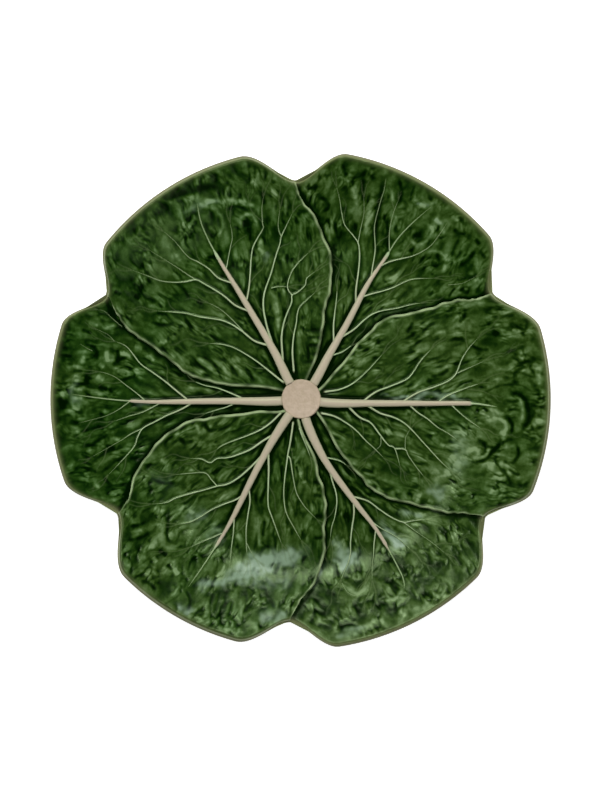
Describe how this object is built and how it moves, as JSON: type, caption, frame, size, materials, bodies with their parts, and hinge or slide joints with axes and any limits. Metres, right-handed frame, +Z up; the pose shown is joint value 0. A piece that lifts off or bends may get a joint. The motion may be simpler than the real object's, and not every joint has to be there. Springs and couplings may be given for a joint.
{
  "type": "dinner plate",
  "caption": "Glazed dinner plate moulded as overlapping cabbage leaves with raised ribs round a cut stem, on a bare foot ring.",
  "frame": {"origin": "on the plate's axis, in the plane that the foot ring rests on", "axes": "+Z up out of the well, +X along the middle of leaf 1, leaves numbered from +X towards +Y"},
  "size_m": [0.2646, 0.2608, 0.0251],
  "materials": {
    "green_glaze_body": "gloss",
    "green_glaze_leaf": "gloss",
    "cream_glaze_rib": "gloss",
    "pale_glaze_vein": "gloss",
    "cream_glaze_stem": "gloss",
    "bare_clay": "matte"
  },
  "bodies": {
    "root": {"plate_body": "green_glaze_body", "foot_ring": "bare_clay", "stem_core": "cream_glaze_stem", "leaf_1": "green_glaze_leaf", "leaf_2": "green_glaze_leaf", "leaf_3": "green_glaze_leaf", "leaf_4": "green_glaze_leaf", "leaf_5": "green_glaze_leaf", "leaf_6": "green_glaze_leaf", "midrib_1": "cream_glaze_rib", "midrib_2": "cream_glaze_rib", "midrib_3": "cream_glaze_rib", "midrib_4": "cream_glaze_rib", "midrib_5": "cream_glaze_rib", "midrib_6": "cream_glaze_rib", "side_veins_1": "pale_glaze_vein", "side_veins_2": "pale_glaze_vein", "side_veins_3": "pale_glaze_vein", "side_veins_4": "pale_glaze_vein", "side_veins_5": "pale_glaze_vein", "side_veins_6": "pale_glaze_vein"}
  },
  "joints": []
}
